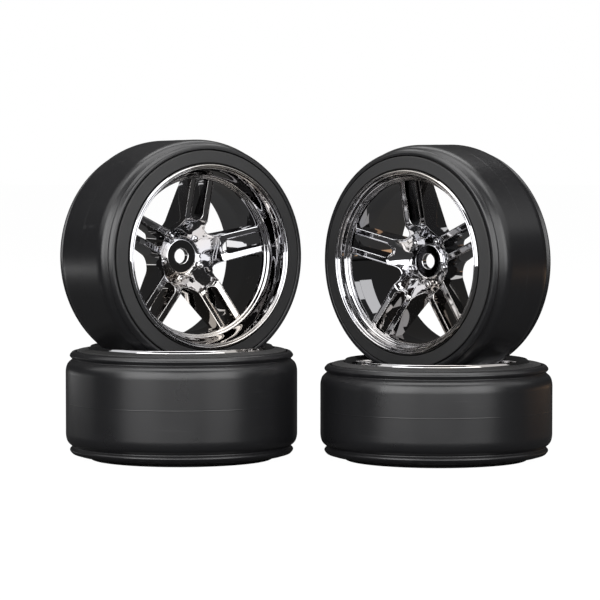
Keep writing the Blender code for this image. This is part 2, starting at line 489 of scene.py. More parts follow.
def mask_group(name: str, amount: float, draw: Callable[[Nodes, Socket], Socket]) -> bpy.types.NodeTree:
    """Make a group that puts out one mask, scaled by its Amount.

    Args:
        name: the group's name.
        amount: the Amount that it has unless a material says otherwise.
        draw: adds the nodes of the mask at full strength, given coordinates.

    Returns:
        The node group.
    """
    inputs = {"Vector": ("NodeSocketVector", None), "Amount": ("NodeSocketFloat", amount)}
    group = shader_group(name, inputs, ("Mask",))
    nodes = Nodes(group)
    source = nodes.add("NodeGroupInput")
    mask = draw(nodes, source.outputs["Vector"])
    nodes.add("NodeGroupOutput", {"Mask": nodes.maths("MULTIPLY", mask, source.outputs["Amount"], clamp=True)})
    return group


def make_grain_group() -> bpy.types.NodeTree:
    """Fine moulding grain: a height for a bump and a mask that varies the roughness.

    Returns:
        The node group.
    """
    group = shader_group(
        "moulding_grain",
        {"Vector": ("NodeSocketVector", None), "Size": ("NodeSocketFloat", 2500.0)},
        ("Height", "Mask"),
    )
    nodes = Nodes(group)
    source = nodes.add("NodeGroupInput")
    vector = source.outputs["Vector"]
    fine = nodes.noise(vector, source.outputs["Size"], detail=4.0, roughness=0.65)
    broad = nodes.noise(vector, 60.0, detail=5.0)
    nodes.add("NodeGroupOutput", {"Height": fine, "Mask": nodes.remap(broad, (0.3, 0.7))})
    return group


def draw_scuffs(nodes: Nodes, vector: Socket) -> Socket:
    """Light handling scuffs that run round the wheel, broken up so that few of them stay.

    Args:
        nodes: the group's nodes.
        vector: coordinates.

    Returns:
        The mask.
    """
    drawn = nodes.add("ShaderNodeVectorMath", {0: vector, 1: (45.0, 45.0, 1600.0)}, operation="MULTIPLY")
    streaks = nodes.remap(nodes.noise(drawn.outputs[0], 1.0, detail=2.0), (0.60, 0.74))
    patches = nodes.remap(nodes.noise(vector, 85.0, detail=4.0), (0.50, 0.68))
    return nodes.maths("MULTIPLY", streaks, patches)


def draw_dust(nodes: Nodes, vector: Socket) -> Socket:
    """Thin dust that lies on faces that look upwards.

    Args:
        nodes: the group's nodes.
        vector: coordinates.

    Returns:
        The mask.
    """
    geometry = nodes.add("ShaderNodeNewGeometry")
    upwards = nodes.add("ShaderNodeSeparateXYZ", {0: geometry.outputs["Normal"]}).outputs["Z"]
    facing = nodes.remap(upwards, (0.35, 0.95))
    specks = nodes.remap(nodes.noise(vector, 900.0), (0.56, 0.72))
    film = nodes.remap(nodes.noise(vector, 55.0, detail=4.0), (0.35, 0.75), (0.15, 0.7))
    return nodes.maths("MULTIPLY", nodes.maths("ADD", specks, film), facing)


def draw_rubbed_edges(nodes: Nodes, vector: Socket) -> Socket:
    """Rubbed edges: high on raised edges and broken by noise.

    Args:
        nodes: the group's nodes.
        vector: coordinates.

    Returns:
        The mask.
    """
    geometry = nodes.add("ShaderNodeNewGeometry")
    raised = nodes.remap(geometry.outputs["Pointiness"], (0.515, 0.56))
    broken = nodes.remap(nodes.noise(vector, 420.0, detail=4.0), (0.42, 0.62))
    return nodes.maths("MULTIPLY", raised, broken)


@dataclass(frozen=True)
class Groups:
    """The shared effects, each built once."""

    grain: bpy.types.NodeTree
    scuffs: bpy.types.NodeTree
    dust: bpy.types.NodeTree
    edges: bpy.types.NodeTree

    @classmethod
    def make(cls) -> "Groups":
        """Build every shared group.

        Returns:
            The groups.
        """
        return cls(
            grain=make_grain_group(),
            scuffs=mask_group("handling_scuffs", 0.3, draw_scuffs),
            dust=mask_group("settled_dust", 0.2, draw_dust),
            edges=mask_group("rubbed_edges", 0.4, draw_rubbed_edges),
        )


@dataclass(frozen=True)
class Finish:
    """What every finish shares: a colour, a gloss and how its surface breaks them up.

    Args:
        slot: the record's material slot.
        colour: base colour of the clean surface.
        worn: colour of scuffs and rubbed edges.
        roughness: roughness of the smoothest and of the dullest patches.
        metallic: 1 for plating, otherwise 0.
        ior: index of refraction.
        grain_size: how many grains there are to the metre.
        grain_height: depth of the grain.
        scuffs: strength of the scuffs.
        edges: strength of the rubbed edges.
        dust: strength of the dust.
        dust_colour: colour of the dust.
    """

    DULLING = 0.22
    DARKER = 0.86

    slot: Slot
    colour: tuple[float, float, float]
    worn: tuple[float, float, float]
    roughness: tuple[float, float]
    metallic: float = 0.0
    ior: float = 1.5
    grain_size: float = 2500.0
    grain_height: float = 0.00001
    scuffs: float = 0.3
    edges: float = 0.3
    dust: float = 0.1
    dust_colour: tuple[float, float, float] = (0.20, 0.19, 0.18)

    def tinted(self, nodes: Nodes, vector: Socket) -> Socket:
        """Colour of the clean surface, varied a little from place to place.

        Args:
            nodes: the material's nodes.
            vector: coordinates in the wheel's own frame.

        Returns:
            The colour.
        """
        darker = tuple(self.DARKER * channel for channel in self.colour)
        patches = nodes.remap(nodes.noise(vector, 40.0, detail=4.0), (0.3, 0.7))
        return mix_colours(nodes, {"Factor": patches, "A": (*darker, 1.0), "B": (*self.colour, 1.0)})

    def build(self, seat: Seat, groups: Groups) -> bpy.types.Material:
        """Make the material for the pieces of one wheel.

        Args:
            seat: the wheel's place, which centres and turns the pattern.
            groups: the shared effects.

        Returns:
            The material.
        """
        material = bpy.data.materials.new(f"{self.slot.value}_{seat.station.value}")
        material.use_nodes = True
        nodes = Nodes(material.node_tree)
        shader = material.node_tree.nodes["Principled BSDF"]
        shader.inputs["Metallic"].default_value = self.metallic
        shader.inputs["IOR"].default_value = self.ior
        place = nodes.add(
            "ShaderNodeMapping",
            {
                "Vector": nodes.add("ShaderNodeTexCoord").outputs["Object"],
                "Location": seat.matrix.translation,
                "Rotation": seat.matrix.to_euler(),
            },
            vector_type="TEXTURE",
        )
        vector = place.outputs["Vector"]
        grain = self.group(nodes, groups.grain, vector, {"Size": self.grain_size})
        scuffs = self.group(nodes, groups.scuffs, vector, {"Amount": self.scuffs}).outputs["Mask"]
        edges = self.group(nodes, groups.edges, vector, {"Amount": self.edges}).outputs["Mask"]
        dust = self.group(nodes, groups.dust, vector, {"Amount": self.dust}).outputs["Mask"]
        worn = nodes.maths("MAXIMUM", scuffs, edges)
        clean = self.tinted(nodes, vector)
        colour = mix_colours(nodes, {"Factor": worn, "A": clean, "B": (*self.worn, 1.0)})
        colour = mix_colours(nodes, {"Factor": dust, "A": colour, "B": (*self.dust_colour, 1.0)})
        polish = nodes.remap(grain.outputs["Mask"], (0.0, 1.0), self.roughness)
        duller = nodes.maths("MULTIPLY", nodes.maths("ADD", worn, dust), self.DULLING)
        roughness = nodes.maths("ADD", polish, duller, clamp=True)
        bump = nodes.add(
            "ShaderNodeBump",
            {"Height": grain.outputs["Height"], "Distance": self.grain_height, "Strength": 1.0},
        )
        material.node_tree.links.new(colour, shader.inputs["Base Color"])
        material.node_tree.links.new(roughness, shader.inputs["Roughness"])
        material.node_tree.links.new(bump.outputs["Normal"], shader.inputs["Normal"])
        return material

    @staticmethod
    def group(nodes: Nodes, tree: bpy.types.NodeTree, vector: Socket, values: Inputs) -> bpy.types.Node:
        """Place a shared effect in a material, with its own values.

        Args:
            nodes: the material's nodes.
            tree: the shared effect.
            vector: coordinates in the wheel's own frame.
            values: the effect's own values, by socket name.

        Returns:
            The placed group.
        """
        placed = nodes.add("ShaderNodeGroup", node_tree=tree)
        nodes.tree.links.new(vector, placed.inputs["Vector"])
        for label, value in values.items():
            placed.inputs[label].default_value = value
        return placed


@dataclass(frozen=True)
class Plating(Finish):
    """Dark plating, whose tone turns a little warmer in broad patches.

    Args:
        warm: colour of the warmest patches.
    """

    warm: tuple[float, float, float] = (0.5, 0.44, 0.36)

    def tinted(self, nodes: Nodes, vector: Socket) -> Socket:
        """Colour of the plating, between its plain and its warm tone.

        Args:
            nodes: the material's nodes.
            vector: coordinates in the wheel's own frame.

        Returns:
            The colour.
        """
        patches = nodes.remap(nodes.noise(vector, 28.0, detail=2.0), (0.45, 0.75), (0.0, 0.6))
        return mix_colours(nodes, {"Factor": patches, "A": (*self.colour, 1.0), "B": (*self.warm, 1.0)})


def mix_colours(nodes: Nodes, values: Inputs) -> Socket:
    """Mix colours A and B by a factor.

    Args:
        nodes: the nodes of the material.
        values: Factor, A and B, each a value or a socket.

    Returns:
        The mixed colour.
    """
    node = nodes.add("ShaderNodeMix", data_type="RGBA")
    sockets = {"Factor": node.inputs[0], "A": node.inputs[6], "B": node.inputs[7]}
    for label, value in values.items():
        if isinstance(value, bpy.types.NodeSocket):
            nodes.tree.links.new(value, sockets[label])
        else:
            sockets[label].default_value = value
    return node.outputs[2]


BLACK_CHROME = Plating(
    slot=Slot.CHROME,
    colour=(0.46, 0.46, 0.475),
    worn=(0.60, 0.59, 0.57),
    roughness=(0.02, 0.035),
    metallic=1.0,
    grain_size=260.0,
    grain_height=0.0000003,
    scuffs=0.05,
    edges=0.15,
    dust=0.01,
)
HARD_RING = Finish(
    slot=Slot.RING,
    colour=(0.0095, 0.0095, 0.0105),
    worn=(0.05, 0.05, 0.053),
    roughness=(0.27, 0.32),
    ior=1.52,
    grain_size=3200.0,
    grain_height=0.000003,
    scuffs=0.22,
    edges=0.2,
    dust=0.06,
)
SIDEWALL_RUBBER = Finish(
    slot=Slot.RUBBER,
    colour=(0.016, 0.016, 0.0165),
    worn=(0.05, 0.049, 0.047),
    roughness=(0.58, 0.68),
    ior=1.45,
    grain_size=2600.0,
    grain_height=0.000012,
    scuffs=0.3,
    edges=0.35,
    dust=0.1,
)
INSERT_FOAM = Finish(
    slot=Slot.FOAM,
    colour=(0.16, 0.16, 0.17),
    worn=(0.22, 0.22, 0.23),
    roughness=(0.9, 0.98),
    grain_size=1500.0,
    grain_height=0.0002,
    scuffs=0.0,
    edges=0.2,
    dust=0.1,
)


# ---------------------------------------------------------------------------------------------------------
# Sub-assemblies of a wheel
# ---------------------------------------------------------------------------------------------------------


@dataclass
class Part:
    """A sub-assembly of one wheel.

    Args:
        size: the wheel's sizes.
        seat: the wheel's place.
    """

    size: WheelSize
    seat: Seat

    def name(self, piece: str) -> str:
        """Name a piece or a node of this wheel in full.

        Args:
            piece: its short name.

        Returns:
            Its full name.
        """
        return f"{self.seat.station.value}_{piece}"

    def dress(
        self, piece: bpy.types.Object, finish: Finish, material: bpy.types.Material, nodes: tuple[str, ...]
    ) -> None:
        """Give a piece its finish, its body and the CAD nodes it stands for, and report it.

        Args:
            piece: the piece.
            finish: not used.
            material: the finish's material on this wheel.
            nodes: short names of the CAD nodes that the piece replaces.
        """
        piece.data.materials.append(material)
        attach(piece, self.seat.station.value)
        if nodes:
            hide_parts(*[self.name(node) for node in nodes])
        LOG.info("%s: %d faces", piece.name, len(piece.data.polygons))

    def turned_piece(self, section: Section, piece: str, steps: int = TURN_STEPS) -> bpy.types.Object:
        """Turn a section into a piece of this wheel.

        Args:
            section: the closed section.
            piece: the piece's short name.
            steps: number of stretches round the axle.

        Returns:
            The piece.
        """
        return finish_shape(turned_shape(section.outline(), steps), self.name(piece), self.seat)


@dataclass
class DriftRing(Part):
    """Hard ring round the tyre: smooth tread, round shoulders and a raised bead on each side."""

    tread_radius: float = 32.8 * MM
    crease_radius: float = 30.85 * MM
    crease_depth: float = 2.65 * MM
    bead_radius: float = 31.85 * MM
    bead_depth: float = 1.7 * MM
    bead_drop: float = 0.5 * MM
    lip_radius: float = 29.95 * MM
    lip_depth: float = 2.4 * MM
    bore_radius: float = 30.7 * MM
    bead_slant: float = 0.95 * MM
    shoulder_radius: float = 32.3 * MM
    shoulder_top: float = 3.85 * MM
    shoulder_foot: float = 5.5 * MM
    parting_width: float = 0.12 * MM
    parting_rise: float = 0.02 * MM

    def build(self) -> bpy.types.Object:
        """Turn the ring, with a faint parting line round the middle of the tread.

        Returns:
            The ring.
        """
        half = self.size.half
        upper = (
            Corner(self.bore_radius, half - self.lip_depth, 0.15 * MM),
            Corner(self.lip_radius, half - self.lip_depth, 0.1 * MM),
            Corner(self.lip_radius, half - self.bead_drop, 0.22 * MM),
            Corner(self.bead_radius - self.bead_slant, half - self.bead_drop, 0.5 * MM),
            Corner(self.bead_radius, half - self.bead_depth, 0.62 * MM),
            Corner(self.crease_radius, half - self.crease_depth, 0.4 * MM),
            Corner(self.shoulder_radius, half - self.shoulder_top, 0.75 * MM),
            Corner(self.tread_radius, half - self.shoulder_foot, 1.0 * MM),
            Corner(self.tread_radius, self.parting_width),
            Corner(self.tread_radius + self.parting_rise, self.parting_width / 3),
        )
        return self.turned_piece(Section(symmetric(upper), arc_steps=9), "hard_tread")


@dataclass
class Tyre(Part):
    """Rubber tyre under the ring, whose two sidewalls show between the ring and the rim."""

    rim_gap: float = 26.3 * MM
    sidewall_rise: float = 0.4 * MM
    sidewall_radius: float = 29.65 * MM
    sidewall_drop: float = 0.2 * MM
    thickness: float = 2.7 * MM
    carcass_radius: float = 30.4 * MM
    carcass_wall: float = 1.5 * MM
    bore_radius: float = 25.5 * MM
    foot_depth: float = 1.0 * MM

    def build(self) -> bpy.types.Object:
        """Turn the tyre, whose section is open towards the rim like a letter C.

        Returns:
            The tyre.
        """
        half = self.size.half
        inside = half - self.thickness
        outer = (
            Corner(self.rim_gap, half + self.sidewall_rise, 0.18 * MM),
            Corner(self.sidewall_radius, half - self.sidewall_drop, 0.3 * MM),
            Corner(self.sidewall_radius, inside, 0.2 * MM),
            Corner(self.carcass_radius, inside, 0.2 * MM),
        )
        inner = (
            Corner(self.rim_gap, half - self.foot_depth, 0.1 * MM),
            Corner(self.bore_radius, half - self.foot_depth, 0.2 * MM),
            Corner(self.bore_radius, inside, 0.2 * MM),
            Corner(self.carcass_radius - self.carcass_wall, inside, 0.4 * MM),
        )
        down = tuple(corner.mirrored() for corner in reversed(outer))
        up = tuple(corner.mirrored() for corner in inner)
        section = Section(outer + down + up + tuple(reversed(inner)), arc_steps=5)
        return self.turned_piece(section, "sidewalls")


@dataclass
class Insert(Part):
    """Foam insert between the rim and the tyre's inside, hidden when the wheel is whole."""

    inner_radius: float = 25.5 * MM
    outer_radius: float = 28.6 * MM
    clearance: float = 3.0 * MM
    edge: float = 0.7 * MM

    def build(self) -> bpy.types.Object:
        """Turn the insert.

        Returns:
            The insert.
        """
        top = self.size.half - self.clearance
        upper = (Corner(self.inner_radius, top, self.edge), Corner(self.outer_radius, top, self.edge))
        return self.turned_piece(Section(symmetric(upper)), "foam_core", TURN_STEPS // 2)


@dataclass
class Barrel(Part):
    """Rim from lip to lip: a beaded front lip, a polished dish with steps at its foot, and the open back.

    FOOT_STEPS lists the corners of the steps, from the dish inwards: the distance outside the spokes' tips,
    the height above them in steps, and the fillet in steps. BORE_STEPS lists the corners behind the spokes:
    the distance outside the tips, the depth below them, and the fillet.
    """

    FOOT_STEPS = (
        (1.45 * MM, 3.1, 0.8),
        (1.1 * MM, 2.1, 0.3),
        (0.72 * MM, 2.0, 0.2),
        (0.6 * MM, 1.1, 0.2),
        (0.2 * MM, 1.0, 0.2),
    )
    BORE_STEPS = (
        (-0.05 * MM, 2.6 * MM, 0.1 * MM),
        (0.35 * MM, 2.9 * MM, 0.1 * MM),
        (-0.2 * MM, 7.7 * MM, 0.12 * MM),
        (0.2 * MM, 8.0 * MM, 0.12 * MM),
        (0.35 * MM, 10.0 * MM, 0.5 * MM),
    )

    flange_radius: float = 26.05 * MM
    flange_edge: float = 0.4 * MM
    flange_foot: float = 0.7 * MM
    crest_radius: float = 25.35 * MM
    crest_round: float = 0.25 * MM
    rise: float = 1.1 * MM
    lip_groove_radius: float = 24.95 * MM
    lip_inner_radius: float = 24.55 * MM
    seat_radius: float = 25.2 * MM
    seat_length: float = 3.0 * MM
    wall: float = 1.3 * MM
    back_radius: float = 23.9 * MM
    swell: float = 0.16 * MM
    swell_share: float = 0.36

    def dish(self) -> tuple[Corner, ...]:
        """Trace the inner side from the front lip down the dish and over the steps at its foot.

        Returns:
            The corners.
        """
        half = self.size.half
        foot = self.size.tip_height
        tip = self.size.tip_radius
        step = self.size.step
        steps = [Corner(tip + out, foot + up * step, fillet * step) for out, up, fillet in self.FOOT_STEPS]
        inner = Vector((self.lip_inner_radius - 0.1 * MM, half + 0.4 * MM))
        top_step = Vector((steps[0].radius, steps[0].height))
        swell = inner.lerp(top_step, self.swell_share) - Vector((self.swell, 0.0))
        return (
            Corner(self.crest_radius - 0.15 * MM, half + self.rise, self.crest_round),
            Corner(self.lip_groove_radius, half + 0.5 * MM, 0.1 * MM),
            Corner(self.lip_inner_radius + 0.12 * MM, half + 0.75 * MM, 0.12 * MM),
            Corner(inner.x, inner.y, 0.2 * MM),
            Corner(swell.x, swell.y, 0.3 * (inner - top_step).length),
            *steps,
            Corner(tip, foot - 0.2 * MM, 0.3 * step),
        )

    def bore(self) -> tuple[Corner, ...]:
        """Trace the inner side behind the spokes, with two shallow steps and a taper to the open back.

        Returns:
            The corners.
        """
        half = self.size.half
        foot = self.size.tip_height
        tip = self.size.tip_radius
        return (
            *[Corner(tip + out, foot - down, fillet) for out, down, fillet in self.BORE_STEPS],
            Corner(self.back_radius, 1.6 * MM - half, 1.2 * MM),
            Corner(self.back_radius + 0.25 * MM, 0.2 * MM - half, 0.5 * MM),
            Corner(self.crest_radius - 0.1 * MM, -half - self.rise, 0.3 * MM),
        )

    def outside(self) -> tuple[Corner, ...]:
        """Trace the outer side from the back lip to the front lip, with a seat for the tyre at each end.

        Returns:
            The corners.
        """
        half = self.size.half
        waist = self.size.tip_radius + self.wall + 0.5 * MM
        lower = (
            Corner(self.crest_radius + 0.3 * MM, -half - self.rise, self.crest_round),
            Corner(self.flange_radius, -half - self.flange_edge, 0.3 * MM),
            Corner(self.flange_radius, self.flange_edge - half, 0.15 * MM),
            Corner(self.seat_radius, self.flange_foot - half, 0.1 * MM),
            Corner(self.seat_radius, self.seat_length - half, 0.4 * MM),
        )
        middle = (
            Corner(waist, self.size.tip_height - 4.0 * MM, 1.0 * MM),
            Corner(waist, self.size.tip_height - 1.0 * MM, 1.0 * MM),
        )
        return lower + middle + tuple(corner.mirrored() for corner in reversed(lower))

    def build(self) -> bpy.types.Object:
        """Turn the barrel.

        Returns:
            The barrel.
        """
        corners = self.dish() + self.bore() + self.outside()
        return self.turned_piece(Section(corners, arc_steps=7, support=0.05 * MM), "barrel")


@dataclass
class Spider(Part):
    """Five pairs of parallel beams with thin raised lips, and steep roots that run down to the hub."""

    SLOPE = 0.16
    KNEE_RADIUS = 10.7 * MM
    KNEE_SLOPE = 1.45
    PAIRS = 5
    FLAT = 0.99
    MOST_RIM_POINTS = 8

    beam_offset: float = 2.85 * MM
    beam_width: float = 1.9 * MM
    beam_depth: float = 5.8 * MM
    slot_end: float = 10.3 * MM
    valley_radius: float = 8.9 * MM
    bore_radius: float = 4.85 * MM
    web_radius: float = 7.9 * MM
    foot_radius: float = 8.6 * MM
    burial: float = 0.55 * MM
    edge_round: float = 0.17 * MM
    lip_width: float = 0.12 * MM
    lip_slant: float = 0.12 * MM
    channel_depth: float = 0.24 * MM
    web_drop: float = 1.5 * MM
    foot_drop: float = 5.2 * MM
    blank_height: float = 10.0 * MM
    arc_steps: int = 12
    cut_spacing: float = 0.55 * MM
    cuts_across: tuple[float, ...] = (0.6 * MM, 1.25 * MM, 2.85 * MM, 4.3 * MM, 5.1 * MM)

    def sector(self) -> Outline:
        """Trace one fifth of the spider: two beams with a round slot between, and half a valley each side.

        Returns:
            Flat points, with the pair of beams along +Y, from the left seam to the right one.
        """
        side = self.beam_offset + self.beam_width / 2
        slot = self.beam_offset - self.beam_width / 2
        half_angle = math.pi / self.PAIRS
        spread = math.sin(half_angle)
        fillet = (self.valley_radius * spread - side) / (1 - spread)
        middle = (side + fillet) / spread
        reach = self.size.tip_radius + self.burial
        swing = math.pi / 2 - half_angle
        right = []
        for index in range(self.arc_steps + 1):
            angle = swing * index / self.arc_steps
            valley = Vector((-fillet * math.sin(angle), middle - fillet * math.cos(angle)))
            valley.rotate(Matrix.Rotation(-half_angle, 2))
            right.append((valley.x, valley.y))
        right += [(side, reach), (slot, reach)]
        for index in range(self.arc_steps + 1):
            angle = math.pi / 2 * index / self.arc_steps
            right.append((slot * math.cos(angle), self.slot_end + slot * (1 - math.sin(angle))))
        left = [(-x, y) for x, y in reversed(right[:-1])]
        inner = []
        for index in range(2 * self.arc_steps + 1):
            angle = half_angle * (index / self.arc_steps - 1)
            inner.append((self.bore_radius * math.sin(angle), self.bore_radius * math.cos(angle)))
        return right + left + inner

    def flat_blank(self) -> bmesh.types.BMesh:
        """Draw the whole flat outline as five faces that share their seams.

        Returns:
            The flat blank.
        """
        shape = bmesh.new()
        face = shape.faces.new([shape.verts.new((x, y, 0.0)) for x, y in self.sector()])
        self.repeat(shape, [face, *face.edges, *face.verts])
        bmesh.ops.recalc_face_normals(shape, faces=shape.faces)
        return shape

    def raise_blank(self, shape: bmesh.types.BMesh) -> None:
        """Give the flat outline its height, rounded upper edges and the sunk channel on top.

        Args:
            shape: the flat blank, which becomes a closed solid.
        """
        grown = bmesh.ops.extrude_face_region(shape, geom=list(shape.faces))
        risen = [item for item in grown["geom"] if isinstance(item, bmesh.types.BMVert)]
        bmesh.ops.translate(shape, verts=risen, vec=(0.0, 0.0, self.blank_height))
        bmesh.ops.recalc_face_normals(shape, faces=shape.faces)
        round_edges(shape, [edge for edge in shape.edges if self.is_upper_rim(edge)], self.edge_round)
        for width, depth in ((self.lip_width, 0.0), (self.lip_slant, -self.channel_depth)):
            shape.normal_update()
            top = [face for face in shape.faces if face.normal.z > self.FLAT]
            highest = max(face.calc_center_median().z for face in top)
            top = [face for face in top if face.calc_center_median().z > highest - MERGE_DISTANCE]
            if depth < 0.0:
                top = [face for face in top if len(face.verts) > self.MOST_RIM_POINTS]
            bmesh.ops.inset_region(
                shape, faces=top, thickness=width, depth=depth, use_boundary=True, use_even_offset=True
            )

    def is_upper_rim(self, edge: bmesh.types.BMEdge) -> bool:
        """Tell whether an edge lies between the top of the blank and its side wall.

        Args:
            edge: the edge.

        Returns:
            Whether it does.
        """
        lifted = all(vert.co.z > self.blank_height / 2 for vert in edge.verts)
        sides = [abs(face.normal.z) < 0.5 for face in edge.link_faces]
        return lifted and sides.count(True) == 1

    def keep_sector(self, shape: bmesh.types.BMesh) -> None:
        """Cut away all but the fifth of the spider that is centred on +Y.

        Args:
            shape: the closed solid, which is left open at its two seams.
        """
        half_angle = math.pi / self.PAIRS
        for side in (-1.0, 1.0):
            cut(shape, (0, 0, 0), (side * math.cos(half_angle), -math.sin(half_angle), 0.0), clear=True)

    def refine(self, shape: bmesh.types.BMesh) -> None:
        """Cut the sector into short stretches, so that the slopes can bend its faces.

        Args:
            shape: the sector.
        """
        reach = self.size.tip_radius + self.burial
        start = self.bore_radius * math.cos(math.pi / self.PAIRS)
        count = int((reach - start) / self.cut_spacing)
        rows = [start + (index + 0.5) * self.cut_spacing for index in range(count)]
        planes = [((0.0, row, 0.0), (0.0, 1.0, 0.0)) for row in rows]
        for offset in self.cuts_across:
            planes += [((side * offset, 0.0, 0.0), (1.0, 0.0, 0.0)) for side in (-1.0, 1.0)]
        planes.append(((0.0, 0.0, 0.0), (1.0, 0.0, 0.0)))
        for point, normal in planes:
            cut(shape, point, normal)

    def repeat(self, shape: bmesh.types.BMesh, geom: list) -> None:
        """Turn one fifth into the whole spider and weld its seams.

        Args:
            shape: the shape.
            geom: the points, edges and faces of the fifth.
        """
        copies = self.PAIRS - 1
        spin(shape, geom, 2 * math.pi * copies / self.PAIRS, copies, use_duplicate=True)
        bmesh.ops.remove_doubles(shape, verts=shape.verts, dist=MERGE_DISTANCE)

    def top(self, radius: float) -> float:
        """Height of the front face: beams, steep roots, then the floor round the boss.

        Args:
            radius: distance from the axle.

        Returns:
            Height above the mid-plane.
        """
        return max(self.size.spoke_front(radius), self.size.hub_height - Hub.FLOOR_DROP)

    def bottom(self, radius: float) -> float:
        """Height of the back face: a thin web over the hub, then the deep beams.

        Args:
            radius: distance from the axle.

        Returns:
            Height above the mid-plane.
        """
        web = self.size.hub_height - self.web_drop
        foot = self.size.hub_height - self.foot_drop
        if radius < self.foot_radius:
            share = (radius - self.web_radius) / (self.foot_radius - self.web_radius)
            return web + (foot - web) * max(0.0, share)
        tip = self.size.tip_height - self.beam_depth
        share = (radius - self.foot_radius) / (self.size.tip_radius - self.foot_radius)
        return foot + (tip - foot) * share

    def bend(self, shape: bmesh.types.BMesh) -> None:
        """Move every point from the blank's flat top and bottom to the sloping faces.

        Args:
            shape: the refined solid.
        """
        for vert in shape.verts:
            radius = Vector((vert.co.x, vert.co.y)).length
            if vert.co.z > self.blank_height / 2:
                vert.co.z = self.top(radius) + vert.co.z - self.blank_height
            else:
                vert.co.z = self.bottom(radius)

    def build(self) -> bpy.types.Object:
        """Make the spider.

        Returns:
            The spider.
        """
        shape = self.flat_blank()
        self.raise_blank(shape)
        self.keep_sector(shape)
        self.refine(shape)
        self.bend(shape)
        self.repeat(shape, all_geometry(shape))
        return finish_shape(shape, self.name("spoke_pairs"), self.seat)


@dataclass
class Hub(Part):
    """Hub with a raised boss round the axle hole and a hexagon socket in its back."""

    FLOOR_DROP = 0.6 * MM

    axle_radius: float = 2.1 * MM
    boss_radius: float = 5.1 * MM
    radius: float = 7.9 * MM
    length: float = 6.2 * MM
    sunk: float = 0.6 * MM
    hex_flats: float = 12.2 * MM
    hex_depth: float = 4.5 * MM
    steps: int = 96

    @property
    def hex_corner(self) -> float:
        """Distance from the axle to a corner of the hexagon."""
        return self.hex_flats / math.sqrt(3)

    def section(self) -> Section:
        """Trace the hub, with the hexagon as a circle through its corners.

        Returns:
            The closed section.
        """
        face = self.size.hub_height
        back = face - self.length
        floor = face - self.FLOOR_DROP
        socket = back + self.hex_depth
        under = floor - self.sunk
        return Section(
            (
                Corner(self.axle_radius, socket, 0.0),
                Corner(self.axle_radius, face - 0.02 * MM, 0.25 * MM),
                Corner(self.boss_radius - 0.45 * MM, face, 0.15 * MM),
                Corner(self.boss_radius, face - 0.4 * MM, 0.15 * MM),
                Corner(self.boss_radius, under, 0.0),
                Corner(self.radius, under, 0.0),
                Corner(self.radius, back, 0.35 * MM),
                Corner(self.hex_corner + 0.25 * MM, back, 0.0),
                Corner(self.hex_corner, back + 0.25 * MM, 0.0),
                Corner(self.hex_corner, socket, 0.0),
            ),
            arc_steps=5,
            support=0.05 * MM,
        )

    def press_hexagon(self, shape: bmesh.types.BMesh) -> None:
        """Draw the socket's round wall in to a hexagon.

        Args:
            shape: the turned hub.
        """
        back = self.size.hub_height - self.length
        sixth = math.pi / 3
        for vert in shape.verts:
            flat = Vector((vert.co.x, vert.co.y))
            inside_wall = abs(flat.length - self.hex_corner) < 0.3 * MM
            if inside_wall and vert.co.z < back + self.hex_depth + MERGE_DISTANCE:
                angle = math.atan2(flat.y, flat.x) % sixth - sixth / 2
                share = self.hex_flats / 2 / math.cos(angle) / self.hex_corner
                vert.co.x *= share
                vert.co.y *= share

    def build(self) -> bpy.types.Object:
        """Turn the hub and press its socket.

        Returns:
            The hub.
        """
        shape = turned_shape(self.section().outline(), self.steps)
        self.press_hexagon(shape)
        return finish_shape(shape, self.name("hub_boss"), self.seat)


@dataclass
class LugNuts(Part):
    """Five small nuts with round crowns, half sunk in the floor between the pairs of spokes."""

    circle: float = 6.5 * MM
    flats: float = 2.1 * MM
    top: float = 0.75 * MM
    sunk: float = 1.0 * MM
    crown_radius: float = 0.66 * MM
    crown_height: float = 0.5 * MM
    edge_round: float = 0.14 * MM

    def build(self) -> bpy.types.Object:
        """Make the five nuts as one piece.

        Returns:
            The piece.
        """
        shape = bmesh.new()
        face = self.size.hub_height
        radius = self.flats / math.sqrt(3)
        height = self.top + self.sunk
        for index in range(Spider.PAIRS):
            angle = math.pi / 2 + math.pi * (2 * index + 1) / Spider.PAIRS
            place = Vector((self.circle * math.cos(angle), self.circle * math.sin(angle), 0.0))
            middle = Matrix.Translation(place + Vector((0.0, 0.0, face + self.top - height / 2)))
            made = bmesh.ops.create_cone(
                shape,
                cap_ends=True,
                segments=6,
                radius1=radius,
                radius2=radius,
                depth=height,
                matrix=middle @ Matrix.Rotation(angle, 4, "Z"),
            )
            edges = {edge for vert in made["verts"] for edge in vert.link_edges}
            round_edges(shape, list(edges), self.edge_round)
            crown = Matrix.Translation(place + Vector((0.0, 0.0, face + self.top)))
            flatter = Matrix.Diagonal((1.0, 1.0, self.crown_height / self.crown_radius, 1.0))
            bmesh.ops.create_uvsphere(
                shape, u_segments=20, v_segments=12, radius=self.crown_radius, matrix=crown @ flatter
            )
        return finish_shape(shape, self.name("lug_nuts"), self.seat)


